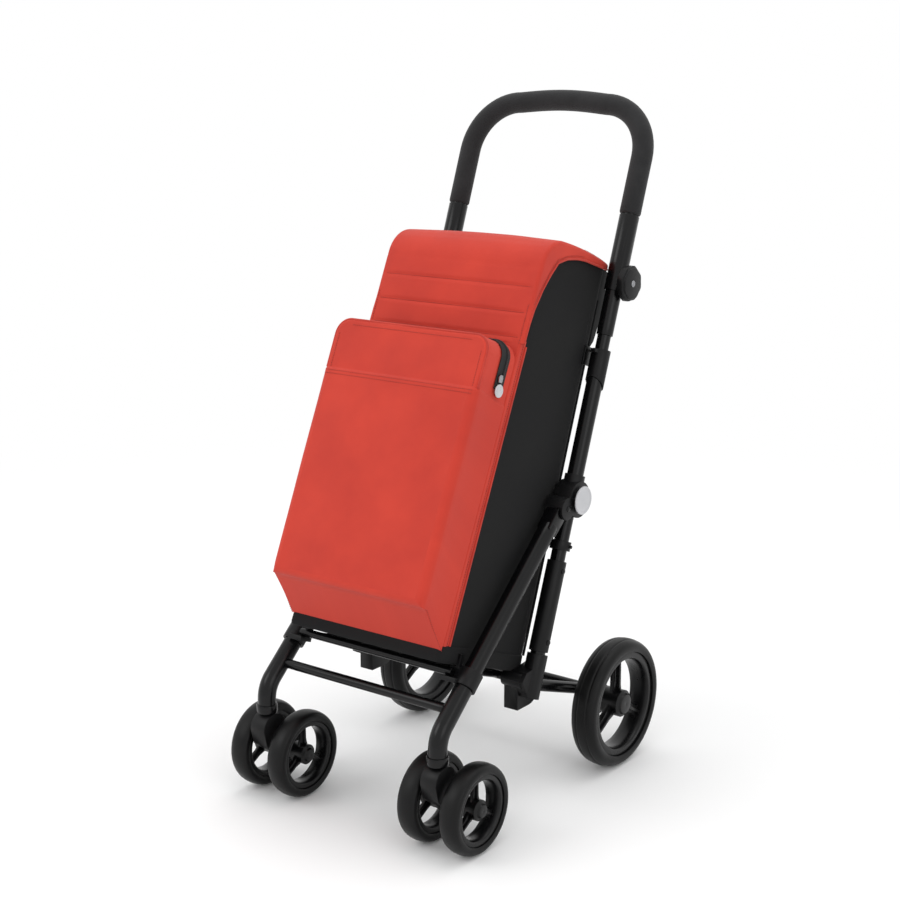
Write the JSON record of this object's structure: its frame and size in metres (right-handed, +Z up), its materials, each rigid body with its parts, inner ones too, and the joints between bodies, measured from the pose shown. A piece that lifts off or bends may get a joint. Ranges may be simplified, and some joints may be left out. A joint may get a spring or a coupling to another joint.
{
  "type": "shopping trolley bag",
  "caption": "Folding shopping trolley: a leaning tube frame with a padded loop handle, a tall zipped fabric bag with a front pocket, rear wheels and double casters in front.",
  "frame": {"origin": "on the floor, under the centre of the bounding box", "axes": "+Z up, +X to the right of someone facing the bag's front, -Y to the front where the pocket and the casters are"},
  "size_m": [0.421, 0.5762, 1.0212],
  "materials": {
    "painted_steel": "satin black powder coat",
    "foam": "closed-cell black foam",
    "black_plastic": "moulded matte black",
    "grey_cap": "light grey moulded",
    "black_fabric": "coated woven black fabric",
    "red_fabric": "coated woven red fabric",
    "tyre_rubber": "moulded dark rubber",
    "bare_steel": "plain steel"
  },
  "bodies": {
    "frame": {"upright_tube_left": "painted_steel", "upright_tube_right": "painted_steel", "inner_tube_left": "painted_steel", "inner_tube_right": "painted_steel", "mid_tube_left": "painted_steel", "mid_tube_right": "painted_steel", "collar_sleeve_left": "black_plastic", "collar_sleeve_right": "black_plastic", "lower_tube_left": "painted_steel", "lower_tube_right": "painted_steel", "lower_sleeve_left": "black_plastic", "lower_sleeve_right": "black_plastic", "stop_collar_left": "black_plastic", "stop_collar_right": "black_plastic", "hub_body_left": "black_plastic", "hub_body_right": "black_plastic", "platform_frame": "painted_steel", "bag_body": "black_fabric", "base_board": "black_plastic", "front_pocket": "red_fabric", "bag_hook_left": "black_plastic", "bag_hook_right": "black_plastic", "foot_bracket_left": "black_plastic", "foot_bracket_right": "black_plastic", "rear_arm_left": "painted_steel", "rear_arm_right": "painted_steel", "rear_beam": "painted_steel", "axle_receiver_left": "black_plastic", "axle_receiver_right": "black_plastic", "rear_axle_pin_left": "bare_steel", "rear_axle_pin_right": "bare_steel"},
    "handle": {"handle_tube": "painted_steel", "foam_grip": "foam", "handle_socket_left": "black_plastic", "handle_socket_right": "black_plastic"},
    "knob_left": {"clamp_knob_left": "black_plastic"},
    "knob_right": {"clamp_knob_right": "black_plastic"},
    "button_left": {"hub_button_left": "grey_cap"},
    "button_right": {"hub_button_right": "grey_cap"},
    "front_frame": {"front_leg_left": "painted_steel", "front_leg_right": "painted_steel", "front_crossbar": "painted_steel", "platform_clip_left": "black_plastic", "platform_clip_right": "black_plastic"},
    "caster_left": {"caster_fork_left": "black_plastic"},
    "caster_right": {"caster_fork_right": "black_plastic"},
    "caster_wheel_left_inner": {"caster_rim_left_inner": "black_plastic", "caster_tyre_left_inner": "tyre_rubber"},
    "caster_wheel_left_outer": {"caster_rim_left_outer": "black_plastic", "caster_tyre_left_outer": "tyre_rubber"},
    "caster_wheel_right_inner": {"caster_rim_right_inner": "black_plastic", "caster_tyre_right_inner": "tyre_rubber"},
    "caster_wheel_right_outer": {"caster_rim_right_outer": "black_plastic", "caster_tyre_right_outer": "tyre_rubber"},
    "rear_wheel_left": {"rear_rim_left": "black_plastic", "rear_tyre_left": "tyre_rubber"},
    "rear_wheel_right": {"rear_rim_right": "black_plastic", "rear_tyre_right": "tyre_rubber"},
    "lid": {"bag_lid": "red_fabric"},
    "zip": {"zip_slider": "grey_cap"}
  },
  "joints": [
    {"name": "handle_height", "type": "slide", "parent": "frame", "child": "handle", "axis": [0, 0.3469, 0.9379], "range_m": [-0.012, 0.045]},
    {"name": "knob_turn_left", "type": "hinge", "parent": "handle", "child": "knob_left", "pos_m": [-0.1755, 0.17653, 0.74656], "axis": [-1, 0, 0], "range_deg": [0, 270]},
    {"name": "hub_press_left", "type": "slide", "parent": "frame", "child": "button_left", "axis": [1, 0, 0], "range_m": [0, 0.004], "stiffness_N_per_m": 600},
    {"name": "knob_turn_right", "type": "hinge", "parent": "handle", "child": "knob_right", "pos_m": [0.1755, 0.17653, 0.74656], "axis": [1, 0, 0], "range_deg": [0, 270]},
    {"name": "hub_press_right", "type": "slide", "parent": "frame", "child": "button_right", "axis": [-1, 0, 0], "range_m": [0, 0.004], "stiffness_N_per_m": 600},
    {"name": "front_fold", "type": "hinge", "parent": "frame", "child": "front_frame", "pos_m": [0, 0.03327, 0.43277], "axis": [1, 0, 0], "range_deg": [0, 22]},
    {"name": "caster_swivel_left", "type": "hinge", "parent": "front_frame", "child": "caster_left", "pos_m": [-0.158, -0.25776, 0.13], "axis": [0, 0, 1], "continuous": true},
    {"name": "caster_roll_left_inner", "type": "hinge", "parent": "caster_left", "child": "caster_wheel_left_inner", "pos_m": [-0.1215, -0.22276, 0.0653], "axis": [1, 0, 0], "continuous": true},
    {"name": "caster_roll_left_outer", "type": "hinge", "parent": "caster_left", "child": "caster_wheel_left_outer", "pos_m": [-0.1945, -0.22276, 0.0653], "axis": [1, 0, 0], "continuous": true},
    {"name": "caster_swivel_right", "type": "hinge", "parent": "front_frame", "child": "caster_right", "pos_m": [0.158, -0.25776, 0.13], "axis": [0, 0, 1], "continuous": true},
    {"name": "caster_roll_right_inner", "type": "hinge", "parent": "caster_right", "child": "caster_wheel_right_inner", "pos_m": [0.1215, -0.22276, 0.0653], "axis": [1, 0, 0], "continuous": true},
    {"name": "caster_roll_right_outer", "type": "hinge", "parent": "caster_right", "child": "caster_wheel_right_outer", "pos_m": [0.1945, -0.22276, 0.0653], "axis": [1, 0, 0], "continuous": true},
    {"name": "rear_roll_left", "type": "hinge", "parent": "frame", "child": "rear_wheel_left", "pos_m": [-0.1865, 0.15617, 0.1], "axis": [1, 0, 0], "continuous": true},
    {"name": "rear_roll_right", "type": "hinge", "parent": "frame", "child": "rear_wheel_right", "pos_m": [0.1865, 0.15617, 0.1], "axis": [1, 0, 0], "continuous": true},
    {"name": "lid_open", "type": "hinge", "parent": "frame", "child": "lid", "pos_m": [0, 0.18639, 0.76744], "axis": [-1, 0, 0], "range_deg": [0, 80]},
    {"name": "zip_pull", "type": "slide", "parent": "frame", "child": "zip", "axis": [0, 0.3469, 0.9379], "range_m": [0, 0.045]}
  ]
}
